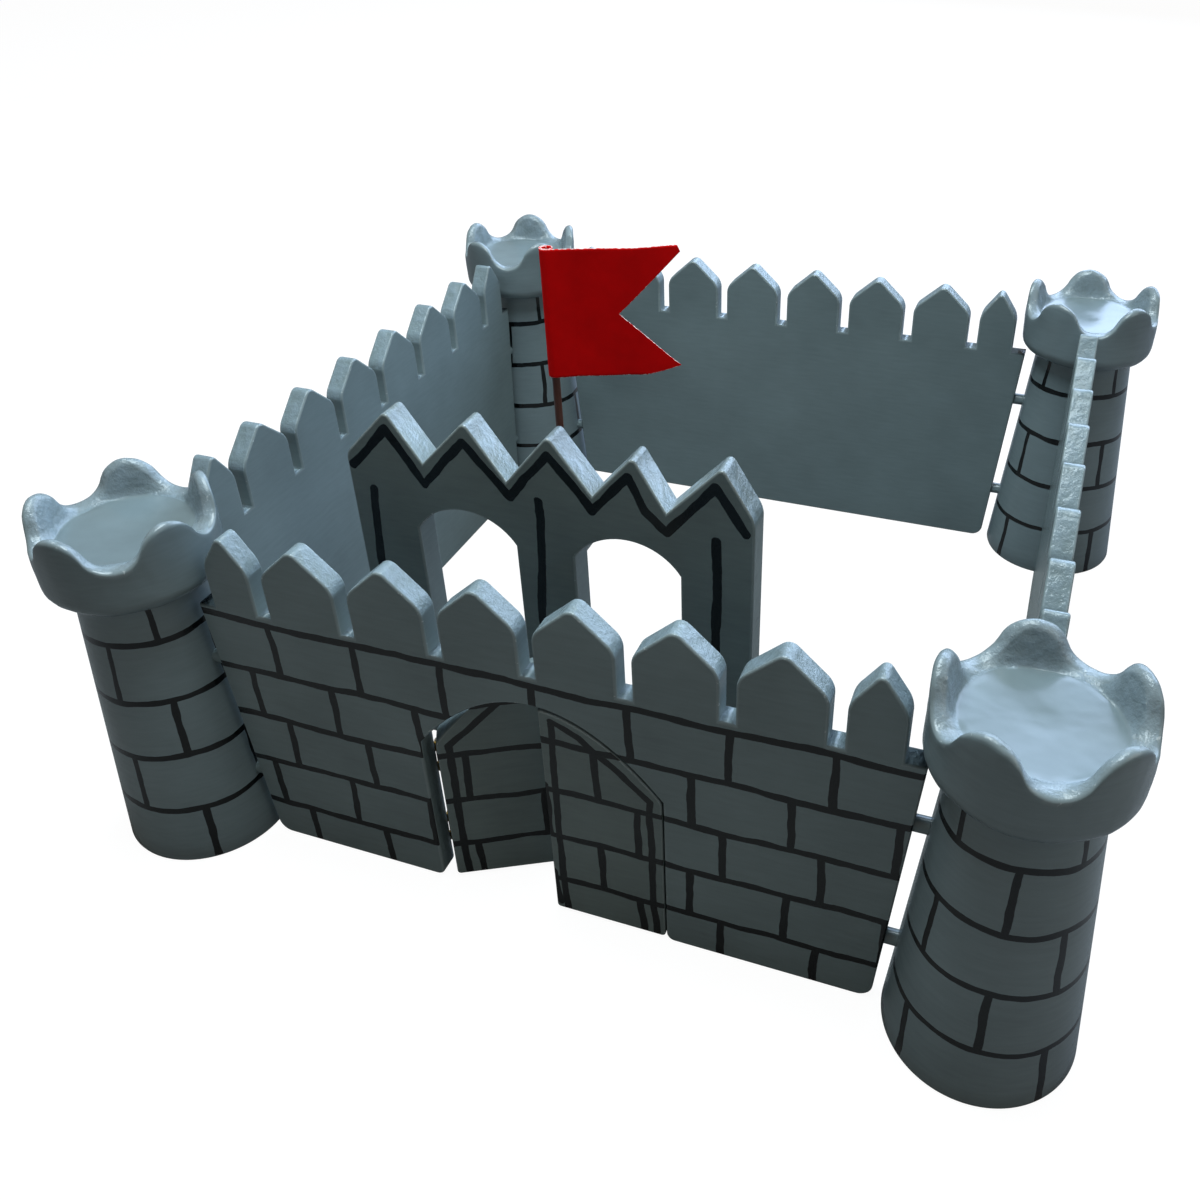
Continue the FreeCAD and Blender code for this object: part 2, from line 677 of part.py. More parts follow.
ARCH_RADIUS = "((Size.arch_half^2 + Size.arch_rise^2) / (2 * Size.arch_rise))"
arcade = new_body("arcade_screen")
arcade_outline = new_sketch(arcade, "arcade_outline", "XZ_Plane")
arcade_vertices = [
    ("-Size.arcade_half", "0"),
    ("Size.arcade_half", "0"),
    ("Size.arcade_half", "Size.arcade_corner"),
]
for number in (5, 4, 3, 2, 1):
    arcade_vertices.append(("Size.peak_%d_along" % number, "Size.peak_%d_height" % number))
    if number > 1:
        arcade_vertices.append(
            ("Size.valley_%d_along" % (number - 1), "Size.valley_%d_height" % (number - 1)))
arcade_vertices.append(("-Size.arcade_half", "Size.arcade_corner"))
draw_outline(arcade_outline, arcade_vertices)
pad(arcade, "arcade_board", arcade_outline, "Size.arcade_thickness")
arch_outline = new_sketch(arcade, "arcade_arch", "XZ_Plane")
arch_left = "(Size.arch_middle - Size.arch_half)"
arch_right = "(Size.arch_middle + Size.arch_half)"
draw_outline(
    arch_outline,
    [
        (arch_left, "-1"),
        (arch_right, "-1"),
        (arch_right, "Size.arch_spring"),
        (arch_left, "Size.arch_spring"),
    ],
    {2: ("arc", "Size.arch_middle", "Size.arch_spring + Size.arch_rise - " + ARCH_RADIUS, 1)})
arch_cut = pocket(arcade, "arcade_arch_cut", arch_outline, "2 * Size.arcade_thickness",
                  symmetric=True)
pattern(arcade, "arcade_arches", "Mirrored", [arch_cut],
        MirrorPlane=(origin_plane(arcade, "YZ_Plane"), [""]))
place(arcade, "Size.arcade_x", "Size.arcade_face + Size.arcade_thickness")
nodes["arcade_screen"] = arcade

batten = new_body("arcade_rear_batten")
batten_outline = new_sketch(batten, "batten_outline", "XZ_Plane")
draw_outline(
    batten_outline,
    [
        ("-Size.batten_half", "Size.batten_bottom + Size.batten_half"),
        ("Size.batten_half", "Size.batten_bottom + Size.batten_half"),
        ("Size.batten_half", "Size.batten_top"),
        ("-Size.batten_half", "Size.batten_top"),
    ],
    {0: ("arc", "0", "Size.batten_bottom + Size.batten_half", 1)})
pad(batten, "batten_board", batten_outline, "Size.batten_depth")
socket_outline = new_sketch(batten, "batten_socket_outline", "XY_Plane", "Size.batten_top")
draw_circle(socket_outline, "Size.pole_shift", "-Size.batten_depth + Size.pole_behind",
            "Size.pole_radius + Size.dowel_clearance")
pocket(batten, "batten_socket", socket_outline, "Size.pole_socket")
place(batten, "Size.arcade_x",
      "Size.arcade_face + Size.arcade_thickness + Size.batten_depth")
nodes["arcade_rear_batten"] = batten

# Flag.

POLE_X = "Size.arcade_x + Size.pole_shift"
POLE_Y = "Size.arcade_face + Size.arcade_thickness + Size.pole_behind"
pole = cylinder("flag_pole", "Size.pole_radius",
                "Size.pole_top - Size.batten_top + Size.pole_socket")
place(pole, POLE_X, POLE_Y, "Size.batten_top - Size.pole_socket")
nodes["flag_pole"] = pole

flag = new_body("flag")
flag_outline = new_sketch(flag, "flag_outline", "XZ_Plane")
draw_outline(
    flag_outline,
    [
        ("Size.pole_radius", "0"),
        ("Size.flag_corner", "0"),
        ("Size.flag_length", "Size.flag_tip_rise"),
        ("Size.flag_notch", "Size.flag_height / 2"),
        ("Size.flag_length", "Size.flag_height - Size.flag_tip_blunt"),
        ("Size.flag_length - Size.flag_tip_back", "Size.flag_height"),
        ("Size.pole_radius", "Size.flag_height"),
    ])
pad(flag, "flag_panel", flag_outline, "Size.flag_thickness", symmetric=True)
sleeve_outline = new_sketch(flag, "flag_sleeve_outline", "XY_Plane")
draw_circle(sleeve_outline, "0", "0", "Size.pole_radius + Size.flag_sleeve_wall")
pad(flag, "flag_sleeve", sleeve_outline, "Size.flag_height")
bore_outline = new_sketch(flag, "flag_bore_outline", "XY_Plane", "Size.flag_height")
draw_circle(bore_outline, "0", "0", "Size.pole_radius + Size.dowel_clearance")
pocket(flag, "flag_bore", bore_outline, "Size.flag_height")
place(flag, POLE_X, POLE_Y, "Size.flag_bottom", "Size.flag_angle")
nodes["flag"] = flag

# Export.

document.recompute()
for item in document.Objects:
    for state in item.State:
        if state in ("Invalid", "Error"):
            raise RuntimeError("%s is %s" % (item.Name, state))
os.makedirs("parts", exist_ok=True)
for name, item in nodes.items():
    shape = item.Shape
    if shape.isNull() or not shape.isValid() or not shape.Solids:
        raise RuntimeError("%s has no valid solid" % name)
    shape.exportStep("parts/%s.step" % name)
    box_size = shape.BoundBox
    print("%-28s %2d solid %9.0f mm3  x %.1f..%.1f  y %.1f..%.1f  z %.1f..%.1f" % (
        name, len(shape.Solids), shape.Volume, box_size.XMin, box_size.XMax,
        box_size.YMin, box_size.YMax, box_size.ZMin, box_size.ZMax))
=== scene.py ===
# A hand-made toy castle of grey enamelled wood, dressed for the render round its CAD frame.
# Lengths are metres in the frame: +Z up, the gate faces -Y, the yard's centre is the origin.

import math

import bmesh
import bpy
from mathutils import Matrix, Vector, noise


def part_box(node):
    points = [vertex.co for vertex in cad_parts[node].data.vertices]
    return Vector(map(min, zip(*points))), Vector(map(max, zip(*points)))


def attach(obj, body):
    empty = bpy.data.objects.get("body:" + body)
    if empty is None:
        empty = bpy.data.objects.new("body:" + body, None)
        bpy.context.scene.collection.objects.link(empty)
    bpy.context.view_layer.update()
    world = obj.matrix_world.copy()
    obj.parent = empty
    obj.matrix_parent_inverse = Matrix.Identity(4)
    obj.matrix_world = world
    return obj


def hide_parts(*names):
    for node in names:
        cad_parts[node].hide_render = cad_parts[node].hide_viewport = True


bl_info = {
    "name": "Toy castle in painted wood",
    "version": (1, 0, 0),
    "blender": (4, 5, 0),
    "location": "View3D > Sidebar > Castle",
    "description": "Dresses the castle's boards, towers, gate, arcade and flag",
    "category": "Object",
}

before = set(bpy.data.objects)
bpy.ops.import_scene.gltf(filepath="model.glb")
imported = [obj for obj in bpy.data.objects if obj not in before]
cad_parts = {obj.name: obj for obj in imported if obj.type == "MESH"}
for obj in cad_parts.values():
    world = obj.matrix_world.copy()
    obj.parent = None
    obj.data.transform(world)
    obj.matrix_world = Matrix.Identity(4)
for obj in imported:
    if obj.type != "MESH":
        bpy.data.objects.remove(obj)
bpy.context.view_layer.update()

MM = 0.001

# Sides of the yard, named as the frame's nodes are.
TOWERS = ("front_left", "front_right", "back_right", "back_left")
WALLS = {
    # outward direction, and the direction in which the painted joints are counted
    "front": (Vector((0, -1, 0)), Vector((1, 0, 0))),
    "right": (Vector((1, 0, 0)), Vector((0, 1, 0))),
    "back": (Vector((0, 1, 0)), Vector((-1, 0, 0))),
    "left": (Vector((-1, 0, 0)), Vector((0, -1, 0))),
}
LEAVES = {
    # body, turn of the leaf at rest in degrees, side of its pins
    "left": ("gate_left", 28, -1),
    "right": ("gate_right", 0, 1),
}
# Hinge pins: distance from the middle of the gateway, and place along Y.
PIN_X = 64.7 * MM
PIN_Y = -214.2 * MM

# Distance of a tower's axis from the yard's middle lines, and the shape of its crown.
TOWER_AXIS = 222.8 * MM
CROWN_RADIUS = 44 * MM
CROWN_PEAK = 210 * MM
CROWN_DIP = 192 * MM
CROWN_WAVES = 5
CROWN_BEND = 174 * MM
RIM_MIDDLE = 40.7 * MM
DISH_TOP = 190.9 * MM
DISH_RADIUS = 31 * MM
# Start of the noise that makes the crowns uneven, which would follow the clock without it.
CROWN_SEED = 1796011513

# Painted joints: height of the lowest line, distance between lines, number of lines,
# width of a stone, shift of the even and of the odd courses in stones, and whether the
# stones go on above the highest line.
WALL_COURSES = (25.5 * MM, 32 * MM, 5, 48 * MM, 0.62, 0.0, False)
TOWER_COURSES = (36.3 * MM, 35.5 * MM, 4, 62 * MM, 0.0, 0.5, True)
LEAF_COURSES = (25.5 * MM, 32 * MM, 4, 0, 0.0, 0.0, False)

# Width of the line paint.
WALL_LINE = 3.9 * MM
TOWER_LINE = 3.4 * MM
LEAF_LINE = 3.7 * MM
ARCADE_LINE = 5.0 * MM

# Painted strokes in millimetres on a board's face: from x, z to x, z.
ARCADE_STROKES = (
    (-114, 190.5, -90, 216.5), (-90, 216.5, -69.5, 186), (-69.5, 186, -42.7, 215.5),
    (-42.7, 215.5, -17.3, 186.5), (-17.3, 186.5, 6, 217), (6, 217, 29.8, 187.5),
    (29.8, 187.5, 50, 211.5), (50, 211.5, 59, 192.5), (59, 192.5, 70, 181.5),
    (70, 181.5, 96.5, 213), (96.5, 213, 112, 189),
    (-102.8, 177, -106, 128), (-106, 128, -103, 8), (-0.8, 187, -5, 110), (-5, 110, -2, 8),
    (97, 182.5, 95.5, 8),
)
RIGHT_LEAF_STROKES = (
    (9.5, 132, 9, 2), (9.5, 134, 24, 128), (24, 128, 58.5, 98), (58.5, 98, 59.5, 2),
    (31, 121.5, 31.6, 89.5), (31, 57.5, 31.8, 25.5), (51.8, 89.5, 52.2, 57.5),
    (51.6, 25.5, 52.4, 2), (3.8, 92, 4.4, 58), (4.0, 30, 5.0, 6),
)
LEFT_LEAF_STROKES = (
    (-59, 96, -58, 2), (-59, 96, -26, 126), (-26, 126, -10, 133), (-9, 132, -8, 90),
    (-52, 89.5, -51.4, 57.5), (-50.6, 25.5, -49.8, 2), (-14, 57.5, -13.2, 25.5),
)

# World azimuth in degrees of one valley of each crown.
CROWN_VALLEYS = {"front_left": 18, "front_right": 137, "back_right": 204, "back_left": 283}


class CastleSizes(bpy.types.PropertyGroup):
    """Sizes of the hand work on the castle."""

    board_edge: bpy.props.FloatProperty(
        name="Board edge", description="Radius of a sanded board edge",
        default=1.3 * MM, unit="LENGTH")
    point_round: bpy.props.FloatProperty(
        name="Point rounding", description="Rounding of merlon points and shoulders",
        default=4.5 * MM, unit="LENGTH")
    leaf_edge: bpy.props.FloatProperty(
        name="Leaf edge", description="Radius of a gate leaf's edge",
        default=0.8 * MM, unit="LENGTH")
    crown_hand: bpy.props.FloatProperty(
        name="Crown unevenness", description="How far the carved crowns leave a true round",
        default=0.7 * MM, unit="LENGTH")
    flag_wave: bpy.props.FloatProperty(
        name="Flag wave", description="How far the flag's cloth bends out of flat",
        default=1.1 * MM, unit="LENGTH")
    flag_cloth: bpy.props.FloatProperty(
        name="Cloth thickness", description="Thickness of the painted flag cloth",
        default=0.4 * MM, unit="LENGTH")


def colour_property(name, description, value):
    """A colour setting, kept as sRGB hex."""
    return bpy.props.StringProperty(name=name, description=description, default=value)


class CastleColours(bpy.types.PropertyGroup):
    """Paint colours, as sRGB hex."""

    towers: colour_property("Towers", "Enamel of the towers", "#6a787c")
    boards: colour_property("Boards", "Enamel of the walls", "#6c7b7e")
    leaves: colour_property("Gate", "Enamel of the gate leaves", "#637070")
    arcade: colour_property("Arcade", "Enamel of the inner board", "#667170")
    # The tops colour is a painted sky sheen, paler and bluer than the enamel, over thin paint on
    # sawn tops.
    tops: colour_property("Tops", "Thin enamel on sawn tops", "#8495a0")
    joints: colour_property("Joints", "Black line paint", "#040607")
    flag: colour_property("Flag", "Red of the flag", "#d20003")
    pole: colour_property("Pole", "Stained pole", "#4a2312")


# Geometry helpers.

def finished(name, bm, body, materials):
    """Turn a bmesh into a castle piece that rides on a body."""
    mesh = bpy.data.meshes.new(name)
    bm.to_mesh(mesh)
    bm.free()
    for polygon in mesh.polygons:
        polygon.use_smooth = True
    piece = bpy.data.objects.new(name, mesh)
    bpy.context.scene.collection.objects.link(piece)
    for material in materials:
        mesh.materials.append(material)
    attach(piece, body)
    return piece


def steady_normals(piece):
    """Keep large faces flat-looking beside their rounded edges."""
    modifier = piece.modifiers.new("steady_normals", "WEIGHTED_NORMAL")
    modifier.mode = "FACE_AREA"
    modifier.weight = 100
    modifier.keep_sharp = True


def solid_copy(node):
    """A CAD node's mesh with its triangles merged back into whole faces."""
    bm = bmesh.new()
    bm.from_mesh(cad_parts[node].data)
    bmesh.ops.remove_doubles(bm, verts=bm.verts, dist=0.002 * MM)
    bmesh.ops.dissolve_limit(
        bm, angle_limit=math.radians(0.6), verts=bm.verts, edges=bm.edges)
    return bm


def bevel(bm, edges, width, segments, held=True):
    """Round some edges; held keeps neighbouring roundings from meeting."""
    return bmesh.ops.bevel(
        bm, geom=list(edges), offset=width, offset_type="OFFSET", segments=segments,
        profile=0.5, affect="EDGES", clamp_overlap=held, material=-1)


def sharp(edge, degrees):
    """Whether two faces meet at an edge with more than a given turn."""
    return len(edge.link_faces) == 2 and edge.calc_face_angle(0) > math.radians(degrees)


def soften_board(bm, outward, edge_width, point_width):
    """Round a sawn board: first its free corners, then its outline on both faces."""
    def through(edge):
        direction = (edge.verts[1].co - edge.verts[0].co).normalized()
        return abs(direction.dot(outward)) > 0.99

    def roomy(edge):
        beside = [e for v in edge.verts for e in v.link_edges if e is not edge]
        return min(e.calc_length() for e in beside) > 2.2 * point_width

    corners = [e for e in bm.edges if through(e) and sharp(e, 25) and roomy(e) and e.is_convex]
    bevel(bm, corners, point_width, 5)
    outline = [
        e for e in bm.edges
        if sharp(e, 60) and any(abs(f.normal.dot(outward)) > 0.99 for f in e.link_faces)
        and not all(abs(f.normal.dot(outward)) > 0.99 for f in e.link_faces)]
    return set(bevel(bm, outline, edge_width, 3, held=False)["faces"])


def board_maps(bm, rounded, outward, along, origin, turn=0, painted=True):
    """UV maps in metres: 'paint' for joints on the outer face, and one for edges and tops, which
    carry chips, a painted highlight and a painted sky sheen.
    """
    paint = bm.loops.layers.uv.new("paint")
    wear_and_sheen = bm.loops.layers.uv.new("wear_and_sheen")
    unturn = Matrix.Rotation(-math.radians(turn), 3, "Z")
    for face in bm.faces:
        normal = unturn @ face.normal
        outer = painted and normal.dot(outward) > 0.5
        sawn = abs(normal.dot(outward)) < 0.5 and normal.z > 0.2
        for loop in face.loops:
            place = unturn @ (loop.vert.co - origin)
            loop[paint].uv = (place.dot(along), loop.vert.co.z if outer else -1)
            # Rounded faces take chips and a painted highlight; top faces take a painted sky sheen
            # and daubed paint.
            loop[wear_and_sheen].uv = (1 if face in rounded else 0, 1 if sawn else 0)


# Materials.

def linear(hex_colour):
    """sRGB hex to the linear values that Blender's sockets take."""
    channels = [int(hex_colour[i:i + 2], 16) / 255 for i in (1, 3, 5)]
    return tuple(
        c / 12.92 if c <= 0.04045 else ((c + 0.055) / 1.055) ** 2.4 for c in channels) + (1,)


def add(tree, kind, inputs=None, out=0, **settings):
    """Add a node with its settings, its values and its links; returns one output."""
    item = tree.nodes.new(kind)
    for key, setting in settings.items():
        setattr(item, key, setting)
    for key, value in (inputs or {}).items():
        if isinstance(value, bpy.types.NodeSocket):
            tree.links.new(value, item.inputs[key])
        else:
            item.inputs[key].default_value = value
    return item.outputs[out]


def new_material(name):
    """A node material with its tree and its Principled shader."""
    material = bpy.data.materials.new(name)
    material.use_nodes = True
    tree = material.node_tree
    shader = tree.nodes["Principled BSDF"]
    return material, tree, shader


def course_distance(tree, uv, courses):
    """Distance in metres to the nearest painted joint of a course pattern."""
    first, height, count, width, even_shift, odd_shift, stones_above = courses
    split = add(tree, "ShaderNodeSeparateXYZ", {0: uv}, out=0)
    u = split
    v = split.node.outputs[1]
    raised = add(tree, "ShaderNodeMath", {0: v, 1: first}, operation="SUBTRACT")
    held = add(tree, "ShaderNodeClamp", {
        0: raised, 1: -height / 2, 2: (count - 0.5) * height})
    across = add(tree, "ShaderNodeMath", {0: held, 1: height / 2}, operation="PINGPONG")
    if not width:
        return across
    course = add(tree, "ShaderNodeMath", {0: raised, 1: height}, operation="DIVIDE")
    course = add(tree, "ShaderNodeMath", {0: course}, operation="FLOOR")
    # Every course starts a little differently, as drawn by eye.
    stray = add(tree, "ShaderNodeTexWhiteNoise", {1: course}, noise_dimensions="1D")
    stray = add(tree, "ShaderNodeMapRange", {0: stray, 3: -0.04, 4: 0.04})
    odd = add(tree, "ShaderNodeMath", {0: course, 1: 2.0}, operation="FLOORED_MODULO")
    laid = add(tree, "ShaderNodeMath", {0: odd, 1: odd_shift - even_shift, 2: even_shift},
               operation="MULTIPLY_ADD")
    shift = add(tree, "ShaderNodeMath", {0: laid, 1: stray}, operation="ADD")
    u = add(tree, "ShaderNodeMath", {0: shift, 1: -width, 2: u}, operation="MULTIPLY_ADD")
    upright = add(tree, "ShaderNodeMath", {0: u, 1: width / 2}, operation="PINGPONG")
    bare = add(tree, "ShaderNodeMath", {0: v, 1: 0.0}, operation="LESS_THAN")
    if not stones_above:
        above = add(tree, "ShaderNodeMath", {0: raised, 1: (count - 1) * height},
                    operation="GREATER_THAN")
        bare = add(tree, "ShaderNodeMath", {0: bare, 1: above}, operation="ADD")
    upright = add(tree, "ShaderNodeMath", {0: upright, 1: bare}, operation="ADD")
    return add(tree, "ShaderNodeMath", {0: across, 1: upright}, operation="MINIMUM")


def stroke_distance(tree, uv, strokes):
    """Distance in metres to the nearest of some straight brush strokes."""
    nearest = None
    for x0, z0, x1, z1 in strokes:
        start = Vector((x0, z0, 0)) * MM
        end = Vector((x1, z1, 0)) * MM
        middle = (start + end) / 2
        span = end - start
        local = add(tree, "ShaderNodeMapping", {
            0: uv, 1: middle, 2: (0, 0, math.atan2(span.y, span.x))}, vector_type="TEXTURE")
        local = add(tree, "ShaderNodeVectorMath", {0: local}, operation="ABSOLUTE")
        local = add(tree, "ShaderNodeVectorMath", {0: local, 1: (span.length / 2, 0, 0)},
                    operation="SUBTRACT")
        local = add(tree, "ShaderNodeVectorMath", {0: local, 1: (0, 0, 0)},
                    operation="MAXIMUM")
        reach = add(tree, "ShaderNodeVectorMath", {0: local}, out=1, operation="LENGTH")
        if nearest is None:
            nearest = reach
        else:
            nearest = add(tree, "ShaderNodeMath", {0: nearest, 1: reach},
                          operation="MINIMUM")
    return nearest


def gloss_enamel(name, colour, line_width=0, courses=None, strokes=None):
    """Brushed gloss enamel on wood: shiny, with faint brush ridges and small chips."""
    colours = bpy.context.scene.castle_colours
    material, tree, shader = new_material(name)
    coords = add(tree, "ShaderNodeTexCoord", out=3)
    # The second UV map marks rounded edges and tops: chips, a painted highlight and a painted sky
    # sheen go there.
    wear_and_sheen_uv = add(tree, "ShaderNodeUVMap", uv_map="wear_and_sheen")
    wear_and_sheen = add(tree, "ShaderNodeSeparateXYZ", {0: wear_and_sheen_uv})
    tops = wear_and_sheen.node.outputs[1]

    # Paint lies a little thicker and darker in broad patches 60 mm across.
    patches = add(tree, "ShaderNodeTexNoise", {0: coords, 2: 16.0, 3: 3.0, 4: 0.5})
    streaks_at = add(tree, "ShaderNodeMapping", {0: coords, 3: (60, 60, 420)})
    streaks = add(tree, "ShaderNodeTexNoise", {0: streaks_at, 2: 1.0, 3: 4.0, 4: 0.6})
    mixed = add(tree, "ShaderNodeMath", {0: patches, 1: 0.7}, operation="MULTIPLY")
    mixed = add(tree, "ShaderNodeMath", {0: streaks, 1: 0.3, 2: mixed},
                operation="MULTIPLY_ADD")
    base = linear(colour)
    ramp = add(tree, "ShaderNodeMapRange", {0: mixed, 1: 0.3, 2: 0.7, 3: 0.0, 4: 1.0})
    paint = add(tree, "ShaderNodeMix", {
        0: ramp,
        6: tuple(c * 0.84 for c in base[:3]) + (1,),
        7: tuple(min(1, c * 1.16) for c in base[:3]) + (1,)}, out=2, data_type="RGBA")

    # The tops get a painted sky sheen, paler and bluer than the enamel, laid in uneven daubs like
    # thin paint on the sawn tops.
    daubs = add(tree, "ShaderNodeTexNoise", {0: coords, 2: 130.0, 3: 5.0, 4: 0.62})
    pale = add(tree, "ShaderNodeMapRange", {0: daubs, 1: 0.35, 2: 0.75, 3: 0.1, 4: 0.75})
    pale = add(tree, "ShaderNodeMath", {0: pale, 1: tops}, operation="MULTIPLY")
    paint = add(tree, "ShaderNodeMix", {0: pale, 6: paint, 7: linear(colours.tops)},
                out=2, data_type="RGBA")

    # Rounded edges and crown rims get a painted highlight, paler paint all along them, and a few
    # chips show the wood's primer.
    chips = add(tree, "ShaderNodeTexNoise", {0: coords, 2: 260.0, 3: 3.0, 4: 0.6})
    chips = add(tree, "ShaderNodeMapRange", {0: chips, 1: 0.66, 2: 0.70, 3: 0.0, 4: 0.6})
    chipped = add(tree, "ShaderNodeMath", {0: chips, 1: wear_and_sheen}, operation="MULTIPLY")
    edge_highlight_and_chips = add(tree, "ShaderNodeMath", {0: wear_and_sheen, 1: 0.13, 2: chipped},
                 operation="MULTIPLY_ADD")
    paint = add(tree, "ShaderNodeMix", {0: edge_highlight_and_chips, 6: paint, 7: linear("#a9b1b2")},
                out=2, data_type="RGBA")

    gloss = add(tree, "ShaderNodeMapRange", {0: streaks, 1: 0.3, 2: 0.7, 3: 0.19, 4: 0.27})

    if courses or strokes:
        uv = add(tree, "ShaderNodeUVMap", uv_map="paint")
        # A hand-drawn line wanders by a millimetre or so.
        wobble = add(tree, "ShaderNodeTexNoise", {0: coords, 2: 26.0, 3: 2.0, 4: 0.5}, out=1)
        wobble = add(tree, "ShaderNodeVectorMath", {0: wobble, 1: (0.5, 0.5, 0.5)},
                     operation="SUBTRACT")
        wobble = add(tree, "ShaderNodeVectorMath", {0: wobble, 1: (0.005, 0.005, 0)},
                     operation="MULTIPLY")
        uv = add(tree, "ShaderNodeVectorMath", {0: uv, 1: wobble}, operation="ADD")
        reach = None
        if courses:
            reach = course_distance(tree, uv, courses)
        if strokes:
            drawn = stroke_distance(tree, uv, strokes)
            if reach is None:
                reach = drawn
            else:
                reach = add(tree, "ShaderNodeMath", {0: reach, 1: drawn},
                            operation="MINIMUM")
        load = add(tree, "ShaderNodeTexNoise", {0: coords, 2: 90.0, 3: 2.0, 4: 0.5})
        load = add(tree, "ShaderNodeMapRange", {
            0: load, 1: 0.2, 2: 0.8, 3: 0.40 * line_width, 4: 0.62 * line_width})
        edge = add(tree, "ShaderNodeMath", {0: load, 1: reach}, operation="SUBTRACT")
        line = add(tree, "ShaderNodeMapRange", {
            0: edge, 1: -0.15 * MM, 2: 0.1 * MM, 3: 0.0, 4: 1.0})
        paint = add(tree, "ShaderNodeMix", {0: line, 6: paint, 7: linear(colours.joints)},
                    out=2, data_type="RGBA")

    tree.links.new(paint, shader.inputs["Base Color"])
    tree.links.new(gloss, shader.inputs["Roughness"])
    shader.inputs["IOR"].default_value = 1.5

    # Faint brush ridges and softer levelling waves; the sawn tops are daubed on thickly.
    waves = add(tree, "ShaderNodeTexNoise", {0: coords, 2: 70.0, 3: 2.0, 4: 0.5})
    height = add(tree, "ShaderNodeMath", {0: streaks, 1: 0.12}, operation="MULTIPLY")
    height = add(tree, "ShaderNodeMath", {0: waves, 1: 0.5, 2: height},
                 operation="MULTIPLY_ADD")
    even = add(tree, "ShaderNodeBump", {"Strength": 0.5, "Distance": 0.5 * MM,
                                        "Height": height})
    daubed = add(tree, "ShaderNodeMath", {0: tops, 1: 0.8}, operation="MULTIPLY")
    bump = add(tree, "ShaderNodeBump", {"Strength": daubed, "Distance": 1.6 * MM,
                                        "Height": daubs, "Normal": even})
    tree.links.new(bump, shader.inputs["Normal"])
    return material


def stained_pole(name, colour):
    """Stained softwood stick: satin, with fine grain along its length."""
    material, tree, shader = new_material(name)
    coords = add(tree, "ShaderNodeTexCoord", out=3)
    stretched = add(tree, "ShaderNodeMapping", {0: coords, 3: (900, 900, 25)})
    grain = add(tree, "ShaderNodeTexNoise", {0: stretched, 2: 1.0, 3: 4.0, 4: 0.6})
    base = linear(colour)
    tone = add(tree, "ShaderNodeMix", {
        0: grain, 6: tuple(c * 0.45 for c in base[:3]) + (1,),
        7: tuple(c * 1.5 for c in base[:3]) + (1,)}, out=2, data_type="RGBA")
    tree.links.new(tone, shader.inputs["Base Color"])
    shader.inputs["Roughness"].default_value = 0.42
    bump = add(tree, "ShaderNodeBump", {"Strength": 0.4, "Distance": 0.1 * MM,
                                        "Height": grain})
    tree.links.new(bump, shader.inputs["Normal"])
    return material


def painted_cotton(name, colour):
    """Cotton stiffened with red paint: slight sheen, a weave 0.7 mm apart, white raw edges."""
    material, tree, shader = new_material(name)
    uv = add(tree, "ShaderNodeUVMap", uv_map="cloth")
    edge_uv = add(tree, "ShaderNodeUVMap", uv_map="edge")
    edge = add(tree, "ShaderNodeSeparateXYZ", {0: edge_uv})
    fray = add(tree, "ShaderNodeTexNoise", {0: uv, 2: 500.0, 3: 3.0, 4: 0.6})
    fray = add(tree, "ShaderNodeMapRange", {
        0: fray, 1: 0.4, 2: 0.75, 3: 0.02 * MM, 4: 0.45 * MM})
    bare = add(tree, "ShaderNodeMath", {0: fray, 1: edge}, operation="SUBTRACT")
    bare = add(tree, "ShaderNodeMapRange", {0: bare, 1: 0.0, 2: 0.2 * MM, 3: 0.0, 4: 0.9})
    split = add(tree, "ShaderNodeSeparateXYZ", {0: uv})
    warp = add(tree, "ShaderNodeMath", {0: split, 1: 2 * math.pi / (0.7 * MM)},
               operation="MULTIPLY")
    weft = add(tree, "ShaderNodeMath", {
        0: split.node.outputs[1], 1: 2 * math.pi / (0.7 * MM)}, operation="MULTIPLY")
    warp = add(tree, "ShaderNodeMath", {0: warp}, operation="SINE")
    weft = add(tree, "ShaderNodeMath", {0: weft}, operation="SINE")
    weave = add(tree, "ShaderNodeMath", {0: warp, 1: weft}, operation="MULTIPLY")
    patches = add(tree, "ShaderNodeTexNoise", {0: uv, 2: 60.0, 3: 3.0, 4: 0.6})
    base = linear(colour)
    tone = add(tree, "ShaderNodeMix", {
        0: patches, 6: tuple(c * 0.75 for c in base[:3]) + (1,),
        7: tuple(min(1, c * 1.2) for c in base[:3]) + (1,)}, out=2, data_type="RGBA")
    tone = add(tree, "ShaderNodeMix", {0: bare, 6: tone, 7: linear("#e9dcd8")},
               out=2, data_type="RGBA")
    tree.links.new(tone, shader.inputs["Base Color"])
    shader.inputs["Roughness"].default_value = 0.75
    shader.inputs["Specular IOR Level"].default_value = 0.1
    bump = add(tree, "ShaderNodeBump", {"Strength": 0.25, "Distance": 0.08 * MM,
                                        "Height": weave})
    tree.links.new(bump, shader.inputs["Normal"])
    return material


